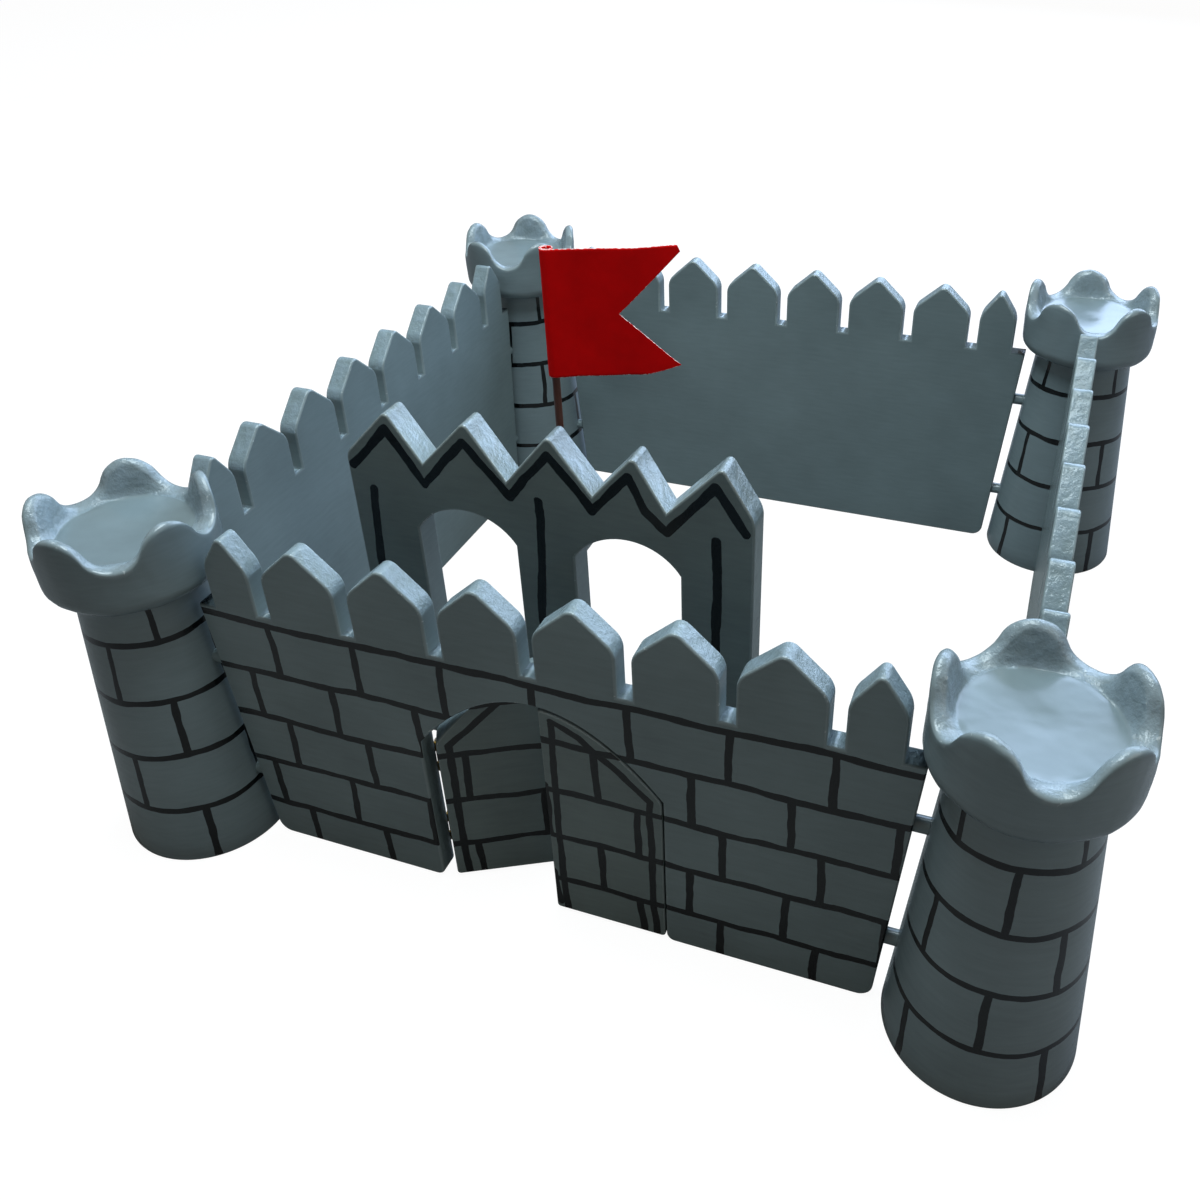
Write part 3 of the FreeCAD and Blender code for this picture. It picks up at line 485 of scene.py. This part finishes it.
def worn_metal(name, colour, roughness):
    """Small stamped hardware: metal with fine scratches and dull patches."""
    material, tree, shader = new_material(name)
    coords = add(tree, "ShaderNodeTexCoord", out=3)
    scratched = add(tree, "ShaderNodeMapping", {0: coords, 3: (400, 400, 2400)})
    scratches = add(tree, "ShaderNodeTexNoise", {0: scratched, 2: 1.0, 3: 3.0, 4: 0.6})
    patches = add(tree, "ShaderNodeTexNoise", {0: coords, 2: 300.0, 3: 3.0, 4: 0.6})
    base = linear(colour)
    tone = add(tree, "ShaderNodeMix", {
        0: patches, 6: tuple(c * 0.6 for c in base[:3]) + (1,), 7: base},
        out=2, data_type="RGBA")
    tree.links.new(tone, shader.inputs["Base Color"])
    shader.inputs["Metallic"].default_value = 1.0
    dull = add(tree, "ShaderNodeMapRange", {
        0: scratches, 1: 0.3, 2: 0.7, 3: roughness - 0.08, 4: roughness + 0.12})
    tree.links.new(dull, shader.inputs["Roughness"])
    bump = add(tree, "ShaderNodeBump", {"Strength": 0.3, "Distance": 0.05 * MM,
                                        "Height": scratches})
    tree.links.new(bump, shader.inputs["Normal"])
    return material


# Pieces.

class CASTLE_OT_walls(bpy.types.Operator):
    """Saw-cut wall boards with rounded edges and painted stone joints"""

    bl_idname = "castle.walls"
    bl_label = "Walls"

    def execute(self, context):
        sizes = context.scene.castle_sizes
        enamel = gloss_enamel("wall_enamel", context.scene.castle_colours.boards,
                              WALL_LINE, WALL_COURSES)
        for name, (outward, along) in WALLS.items():
            bm = solid_copy("wall_" + name)
            rounded = soften_board(bm, outward, sizes.board_edge, sizes.point_round)
            board_maps(bm, rounded, outward, along, Vector())
            wall = finished("painted_wall_" + name, bm, "castle", [enamel])
            steady_normals(wall)
            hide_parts("wall_" + name)
        return {"FINISHED"}


def crown_height(offset):
    """Height of the crown's wave at a sideways distance from a valley, in metres."""
    half = CROWN_RADIUS * math.sin(math.pi / CROWN_WAVES)
    rise = CROWN_PEAK - CROWN_DIP
    radius = (half * half + rise * rise) / (4 * rise)
    if offset < half / 2:
        return CROWN_DIP + radius - math.sqrt(radius * radius - offset * offset)
    return CROWN_PEAK - radius + math.sqrt(max(0, radius * radius - (half - offset) ** 2))


def tower_profile():
    """Half section of a turned tower in millimetres: radius and height from foot to dish."""
    points = [(0, 0), (44.5, 0), (45.8, 0.4), (46.2, 1.4)]
    points += [(46.2 - 14 * t / 16, 1.4 + 163.2 * t / 16) for t in range(1, 17)]
    points += [(32.5, 165), (34.8, 165)]
    for step in range(1, 9):
        angle = math.radians(-90 + 90 * step / 8)
        points.append((35 + 9 * math.cos(angle), 174 + 9 * math.sin(angle)))
    points += [(44, height) for height in (179, 184, 189, 194, 199, 203)]
    for step in range(0, 9):
        angle = math.radians(180 * step / 8)
        points.append((40.7 + 3.3 * math.cos(angle), 206.7 + 3.3 * math.sin(angle)))
    points += [(36.5, 203.7), (35.6, 200.4), (34.9, 197.2), (34.1, 194.2), (33.3, 192.0)]
    points += [(32.6, 191.1), (31.6, 190.9)]
    points += [(radius, 189.9 + radius / 32) for radius in (29, 26, 23, 20, 17, 14, 11, 8)]
    points += [(5, 189.9), (2, 189.9), (0, 189.9)]
    return [Vector((r * MM, 0, z * MM)) for r, z in points]


class CASTLE_OT_towers(bpy.types.Operator):
    """Turned towers with wavy carved crowns and painted stone joints"""

    bl_idname = "castle.towers"
    bl_label = "Towers"

    def execute(self, context):
        enamel = gloss_enamel("tower_enamel", context.scene.castle_colours.towers,
                              TOWER_LINE, TOWER_COURSES)
        noise.seed_set(CROWN_SEED)
        for number, name in enumerate(TOWERS):
            self.turn(context, name, number, enamel)
        return {"FINISHED"}

    def turn(self, context, name, number, enamel):
        """Spin the profile, carve the waves, knock the crown out of true and map it."""
        unevenness = context.scene.castle_sizes.crown_hand
        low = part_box("tower_" + name)[0]
        axis = Vector((math.copysign(TOWER_AXIS, low.x), math.copysign(TOWER_AXIS, low.y), 0))
        valley = math.radians(CROWN_VALLEYS[name])
        bm = bmesh.new()
        points = [bm.verts.new(point) for point in tower_profile()]
        edges = [bm.edges.new(pair) for pair in zip(points, points[1:])]
        bmesh.ops.spin(bm, geom=points + edges, cent=(0, 0, 0), axis=(0, 0, 1),
                       angle=2 * math.pi, steps=180, use_merge=True, use_duplicate=False)
        bmesh.ops.remove_doubles(bm, verts=bm.verts, dist=0.01 * MM)
        bmesh.ops.recalc_face_normals(bm, faces=bm.faces)
        wave = 2 * math.pi / CROWN_WAVES
        for vert in bm.verts:
            radius = math.hypot(vert.co.x, vert.co.y)
            base = CROWN_BEND if radius > RIM_MIDDLE else DISH_TOP
            if vert.co.z <= base or radius < DISH_RADIUS:
                continue
            turn = (math.atan2(vert.co.y, vert.co.x) - valley + wave / 2) % wave - wave / 2
            top = crown_height(abs(radius * math.sin(turn)))
            vert.co.z = base + (vert.co.z - base) * (top - base) / (CROWN_PEAK - base)
        for vert in bm.verts:
            if vert.co.z > 165.5 * MM:
                lump = noise.noise_vector(vert.co * 55 + Vector((number * 9, 0, 0)))
                fine = noise.noise_vector(vert.co * 190 + Vector((number * 9, 5, 0)))
                share = 0.25 if math.hypot(vert.co.x, vert.co.y) < 32.4 * MM else 1
                vert.co += (lump + fine * 0.3) * unevenness * share
        paint = bm.loops.layers.uv.new("paint")
        wear_and_sheen = bm.loops.layers.uv.new("wear_and_sheen")
        quarter = TOWER_COURSES[3] / math.radians(90)
        for face in bm.faces:
            centre = face.calc_center_median()
            facing = math.atan2(centre.y, centre.x)
            plain = centre.z > 164.9 * MM or centre.z < 0.2 * MM
            for loop in face.loops:
                co = loop.vert.co
                angle = facing
                if math.hypot(co.x, co.y) > 1 * MM:
                    angle += (math.atan2(co.y, co.x) - facing + math.pi) % (2 * math.pi) - math.pi
                loop[paint].uv = (angle * quarter, -1 if plain else co.z)
                radius = math.hypot(co.x, co.y)
                turn = (math.atan2(co.y, co.x) - valley + wave / 2) % wave - wave / 2
                top = crown_height(abs(radius * math.sin(turn)))
                # The crown rims take chips and a painted highlight; the crown tops take a painted
                # sky sheen and daubed paint.
                rim = 1 if co.z > top - 1.6 * MM and radius > 35 * MM else 0
                daubed = co.z > 190 * MM and 33 * MM < radius < 42.6 * MM
                loop[wear_and_sheen].uv = (rim, 1 if daubed else 0)
        bmesh.ops.translate(bm, vec=axis, verts=bm.verts)
        tower = finished("turned_tower_" + name, bm, "castle", [enamel])
        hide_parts("tower_" + name)


class CASTLE_OT_dowels(bpy.types.Operator):
    """Glued dowels between the walls and the towers"""

    bl_idname = "castle.dowels"
    bl_label = "Dowels"

    def execute(self, context):
        enamel = gloss_enamel("dowel_enamel", context.scene.castle_colours.boards)
        for node in sorted(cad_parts):
            if not node.startswith("dowel_"):
                continue
            low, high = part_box(node)
            middle = (low + high) / 2
            span = high - low
            along_x = span.x > span.y
            half = max(span.x, span.y) / 2
            radius = span.z / 2
            bm = bmesh.new()
            profile = [(0, -half), (radius - 1 * MM, -half), (radius, -half + 1 * MM),
                       (radius, half - 1 * MM), (radius - 1 * MM, half), (0, half)]
            points = [bm.verts.new((r, 0, z)) for r, z in profile]
            edges = [bm.edges.new(pair) for pair in zip(points, points[1:])]
            bmesh.ops.spin(bm, geom=points + edges, cent=(0, 0, 0), axis=(0, 0, 1),
                           angle=2 * math.pi, steps=40, use_merge=True,
                           use_duplicate=False)
            bmesh.ops.remove_doubles(bm, verts=bm.verts, dist=0.01 * MM)
            bmesh.ops.recalc_face_normals(bm, faces=bm.faces)
            turn = Matrix.Rotation(math.radians(90), 3, "Y" if along_x else "X")
            bmesh.ops.rotate(bm, cent=(0, 0, 0), matrix=turn, verts=bm.verts)
            bmesh.ops.translate(bm, vec=middle, verts=bm.verts)
            bm.loops.layers.uv.new("wear_and_sheen")
            piece = finished("painted_" + node, bm, "castle", [enamel])
            steady_normals(piece)
            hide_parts(node)
        return {"FINISHED"}


class CASTLE_OT_gate(bpy.types.Operator):
    """Two painted leaves with their butt hinges, pins and screws"""

    bl_idname = "castle.gate"
    bl_label = "Gate"

    def execute(self, context):
        sizes = context.scene.castle_sizes
        colours = context.scene.castle_colours
        strokes = {"left": LEFT_LEAF_STROKES, "right": RIGHT_LEAF_STROKES}
        for name, (body, turn, side) in LEAVES.items():
            enamel = gloss_enamel("leaf_enamel_" + name, colours.leaves,
                                  LEAF_LINE, LEAF_COURSES, strokes[name])
            outward = Matrix.Rotation(math.radians(turn), 3, "Z") @ Vector((0, -1, 0))
            bm = solid_copy("gate_leaf_" + name)
            rounded = soften_board(bm, outward, sizes.leaf_edge, 2 * MM)
            pin = Vector((side * PIN_X, PIN_Y, 0))
            board_maps(bm, rounded, Vector((0, -1, 0)), Vector((1, 0, 0)), pin, turn)
            paint = bm.loops.layers.uv["paint"]
            for face in bm.faces:
                for loop in face.loops:
                    loop[paint].uv.x += pin.x
            leaf = finished("painted_leaf_" + name, bm, body, [enamel])
            steady_normals(leaf)
            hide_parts("gate_leaf_" + name)
        brass = worn_metal("dull_brass", "#b08d4c", 0.38)
        steel = worn_metal("pin_steel", "#a9a9a6", 0.3)
        for node in sorted(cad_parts):
            if not node.startswith(("hinge_", "screws_")):
                continue
            body = "castle"
            for name, (leaf_body, turn, side) in LEAVES.items():
                if "leaf_" + name in node:
                    body = leaf_body
            bm = solid_copy(node)
            edges = [e for e in bm.edges if sharp(e, 35)]
            bevel(bm, edges, 0.15 * MM, 2)
            slot = "hinge_brass"
            if node.startswith("hinge_pin"):
                slot = "pin_steel"
            elif node.startswith("screws"):
                slot = "screw_steel"
            material = steel if slot == "pin_steel" else brass
            piece = finished("worked_" + node, bm, body, [material])
            steady_normals(piece)
            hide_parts(node)
        return {"FINISHED"}


class CASTLE_OT_arcade(bpy.types.Operator):
    """The pointed inner board with its two arches and the batten behind it"""

    bl_idname = "castle.arcade"
    bl_label = "Arcade"

    def execute(self, context):
        sizes = context.scene.castle_sizes
        colours = context.scene.castle_colours
        outward = Vector((0, -1, 0))
        low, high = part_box("arcade_screen")
        middle = Vector(((low.x + high.x) / 2, 0, 0))
        enamel = gloss_enamel("arcade_enamel", colours.arcade, ARCADE_LINE,
                              strokes=ARCADE_STROKES)
        bm = solid_copy("arcade_screen")
        rounded = soften_board(bm, outward, sizes.board_edge, 4 * MM)
        board_maps(bm, rounded, outward, Vector((1, 0, 0)), middle)
        screen = finished("painted_arcade", bm, "castle", [enamel])
        steady_normals(screen)
        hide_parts("arcade_screen")

        plain = gloss_enamel("batten_enamel", colours.arcade)
        bm = solid_copy("arcade_rear_batten")
        rounded = soften_board(bm, outward, sizes.board_edge, 1.5 * MM)
        board_maps(bm, rounded, outward, Vector((1, 0, 0)), middle, painted=False)
        batten = finished("painted_batten", bm, "castle", [plain])
        steady_normals(batten)
        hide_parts("arcade_rear_batten")
        return {"FINISHED"}


class CASTLE_OT_flag(bpy.types.Operator):
    """A stained pole and a stiff red swallow-tail flag rolled round it"""

    bl_idname = "castle.flag"
    bl_label = "Flag"

    def execute(self, context):
        colours = context.scene.castle_colours
        low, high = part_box("flag_pole")
        axis = Vector(((low.x + high.x) / 2, (low.y + high.y) / 2, 0))
        self.pole(axis, low.z, high.z, stained_pole("pole_stain", colours.pole))
        self.flag(context, axis, painted_cotton("flag_cotton", colours.flag))
        return {"FINISHED"}

    def pole(self, axis, bottom, top, material):
        profile = [(0, bottom), (1.7 * MM, bottom), (2.0 * MM, bottom + 0.4 * MM)]
        profile += [(2.0 * MM, bottom + (top - bottom) * t / 12) for t in range(1, 12)]
        profile += [(2.0 * MM, top - 1 * MM), (1.6 * MM, top - 0.3 * MM),
                    (0.9 * MM, top), (0, top)]
        bm = bmesh.new()
        points = [bm.verts.new((r, 0, z)) for r, z in profile]
        edges = [bm.edges.new(pair) for pair in zip(points, points[1:])]
        bmesh.ops.spin(bm, geom=points + edges, cent=(0, 0, 0), axis=(0, 0, 1),
                       angle=2 * math.pi, steps=32, use_merge=True, use_duplicate=False)
        bmesh.ops.remove_doubles(bm, verts=bm.verts, dist=0.01 * MM)
        bmesh.ops.recalc_face_normals(bm, faces=bm.faces)
        bmesh.ops.translate(bm, vec=axis, verts=bm.verts)
        pole = finished("stained_pole", bm, "castle", [material])
        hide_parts("flag_pole")

    def flag(self, context, axis, material):
        sizes = context.scene.castle_sizes
        bottom = 251 * MM
        height = 66 * MM
        length = 64 * MM
        # The hand-cut end: share of the height, and reach from the pole.
        cuts = ((0, 46), (4 / 60, 64), (0.5, 33.5), (0.95, 64), (1, 62.5))
        turn = math.radians(22)
        columns = 170
        rows = 60
        sleeve = 60
        inner_roll = 2.3 * MM
        outer_roll = 3.5 * MM
        turns = 1.5
        rolled = math.pi * turns * (inner_roll + outer_roll)
        bm = bmesh.new()
        bmesh.ops.create_grid(bm, x_segments=columns, y_segments=rows, size=0.5)
        cloth = bm.loops.layers.uv.new("cloth")
        border = bm.loops.layers.uv.new("edge")
        flat = {}
        for vert in bm.verts:
            s = (vert.co.x + 0.5) * columns
            t = vert.co.y + 0.5
            z = bottom + t * height
            rim = min(t, 1 - t) * height
            if s <= sleeve:
                wound = 1 - s / sleeve
                angle = -math.pi / 2 - 2 * math.pi * turns * wound
                roll = outer_roll + (inner_roll - outer_roll) * wound
                vert.co = (roll * math.cos(angle), roll * math.sin(angle), z)
                run = -rolled * wound
                rim = min(rim, rolled * (1 - wound))
            else:
                reach, lean = self.cut_end(cuts, t, height)
                x = reach * (s - sleeve) / (columns - sleeve)
                swing = sizes.flag_wave * math.sin(x / length * 5.2 + t * 1.4)
                swing += 0.35 * sizes.flag_wave * math.sin(x / length * 13 - t * 4)
                swing *= min(1, x / (12 * MM))
                vert.co = (x, -outer_roll + swing + 2.4 * MM * (x / length) ** 2, z)
                run = x
                rim = min(rim, (reach - x) * lean)
            flat[vert] = (run, t * height, rim)
        for face in bm.faces:
            for loop in face.loops:
                run, rise, rim = flat[loop.vert]
                loop[cloth].uv = (run, rise)
                loop[border].uv = (rim, 0)
        bmesh.ops.rotate(bm, cent=(0, 0, 0), matrix=Matrix.Rotation(turn, 3, "Z"),
                         verts=bm.verts)
        bmesh.ops.translate(bm, vec=axis, verts=bm.verts)
        flag = finished("red_flag", bm, "castle", [material])
        cloth = flag.modifiers.new("cloth", "SOLIDIFY")
        cloth.thickness = sizes.flag_cloth
        cloth.offset = 0
        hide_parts("flag")

    def cut_end(self, cuts, t, height):
        """Reach of the cloth at a share of its height, and the cosine of its cut edge."""
        for (low, near), (high, far) in zip(cuts, cuts[1:]):
            if t <= high + 1e-6:
                reach = (near + (far - near) * (t - low) / (high - low)) * MM
                slope = (far - near) * MM / ((high - low) * height)
                return reach, 1 / math.hypot(1, slope)
        return cuts[-1][1] * MM, 1


class CASTLE_OT_stage(bpy.types.Operator):
    """Pale floor, soft light and the camera"""

    bl_idname = "castle.stage"
    bl_label = "Stage"

    def execute(self, context):
        self.floor()
        self.light(context)
        self.camera(context)
        context.scene.view_settings.view_transform = "Standard"
        return {"FINISHED"}

    def floor(self):
        bm = bmesh.new()
        bmesh.ops.create_grid(bm, x_segments=2, y_segments=2, size=12)
        mesh = bpy.data.meshes.new("pale_floor")
        bm.to_mesh(mesh)
        bm.free()
        floor = bpy.data.objects.new("pale_floor", mesh)
        bpy.context.scene.collection.objects.link(floor)
        material, tree, shader = new_material("white_floor")
        shader.inputs["Base Color"].default_value = (0.2, 0.2, 0.2, 1)
        shader.inputs["Roughness"].default_value = 0.9
        shader.inputs["Specular IOR Level"].default_value = 0.1
        glow = add(tree, "ShaderNodeEmission", {0: (1, 1, 1, 1), 1: 1.9})
        seen = add(tree, "ShaderNodeLightPath")
        share = add(tree, "ShaderNodeMath", {0: seen, 1: 0.5}, operation="MULTIPLY")
        mix = add(tree, "ShaderNodeMixShader", {
            0: share, 1: shader.outputs[0], 2: glow})
        tree.links.new(mix, tree.nodes["Material Output"].inputs[0])
        mesh.materials.append(material)

    def light(self, context):
        world = bpy.data.worlds.new("studio")
        world.use_nodes = True
        tree = world.node_tree
        tree.nodes.clear()
        rays = add(tree, "ShaderNodeLightPath")
        soft = add(tree, "ShaderNodeBackground", {0: (1.0, 0.95, 0.86, 1), 1: 0.25})
        white = add(tree, "ShaderNodeBackground", {0: (1, 1, 1, 1), 1: 1.0})
        mix = add(tree, "ShaderNodeMixShader", {0: rays, 1: soft, 2: white})
        surface = tree.nodes.new("ShaderNodeOutputWorld").inputs[0]
        tree.links.new(mix, surface)
        context.scene.world = world
        # name, place, width, depth, power, colour
        lamps = (
            ("window", (0.75, 2.2, 1.4), 3.4, 1.6, 96.0, (0.55, 0.72, 1.0)),
            ("ceiling", (-0.05, -0.05, 1.1), 0.6, 0.6, 14.0, (0.80, 0.94, 1.0)),
            ("side", (1.5, -0.35, 0.9), 0.9, 0.9, 3.0, (1.0, 0.98, 0.92)),
        )
        for name, place, width, depth, power, colour in lamps:
            data = bpy.data.lights.new(name, "AREA")
            data.shape = "RECTANGLE"
            data.size = width
            data.size_y = depth
            data.energy = power
            data.color = colour
            lamp = bpy.data.objects.new(name, data)
            lamp.location = place
            lamp.rotation_euler = (Vector((0, 0, 0.1)) - Vector(place)).to_track_quat(
                "-Z", "Y").to_euler()
            context.scene.collection.objects.link(lamp)

    def camera(self, context):
        azimuth = math.radians(-19.516)
        elevation = math.radians(33.084)
        roll = math.radians(-0.607)
        ahead = Vector((math.sin(azimuth) * math.cos(elevation),
                        math.cos(azimuth) * math.cos(elevation), -math.sin(elevation)))
        right = Vector((math.cos(azimuth), -math.sin(azimuth), 0))
        upward = right.cross(ahead)
        across = math.cos(roll) * right + math.sin(roll) * upward
        upright = math.cos(roll) * upward - math.sin(roll) * right
        data = bpy.data.cameras.new("camera")
        data.sensor_width = 36
        data.lens = 33.65
        data.shift_x = -0.0715
        data.shift_y = -0.0460
        camera = bpy.data.objects.new("camera", data)
        camera.matrix_world = Matrix((
            (across.x, upright.x, -ahead.x, 0.2022),
            (across.y, upright.y, -ahead.y, -0.5793),
            (across.z, upright.z, -ahead.z, 0.4894),
            (0, 0, 0, 1)))
        context.scene.collection.objects.link(camera)
        context.scene.camera = camera


OPERATORS = (
    CASTLE_OT_walls, CASTLE_OT_towers, CASTLE_OT_dowels, CASTLE_OT_gate,
    CASTLE_OT_arcade, CASTLE_OT_flag, CASTLE_OT_stage,
)


class CASTLE_PT_panel(bpy.types.Panel):
    """Lists the castle's sizes, colours and pieces"""

    bl_idname = "CASTLE_PT_panel"
    bl_label = "Castle"
    bl_space_type = "VIEW_3D"
    bl_region_type = "UI"
    bl_category = "Castle"

    def draw(self, context):
        for group in (context.scene.castle_sizes, context.scene.castle_colours):
            for name in group.bl_rna.properties.keys():
                if name not in ("rna_type", "name"):
                    self.layout.prop(group, name)
        for operator in OPERATORS:
            self.layout.operator(operator.bl_idname)


CLASSES = (CastleSizes, CastleColours) + OPERATORS + (CASTLE_PT_panel,)


def register():
    for item in CLASSES:
        bpy.utils.register_class(item)
    bpy.types.Scene.castle_sizes = bpy.props.PointerProperty(type=CastleSizes)
    bpy.types.Scene.castle_colours = bpy.props.PointerProperty(type=CastleColours)


def unregister():
    del bpy.types.Scene.castle_colours
    del bpy.types.Scene.castle_sizes
    for item in reversed(CLASSES):
        bpy.utils.unregister_class(item)


def main():
    register()
    for operator in OPERATORS:
        group, name = operator.bl_idname.split(".")
        getattr(getattr(bpy.ops, group), name)()


if __name__ == "__main__":
    main()
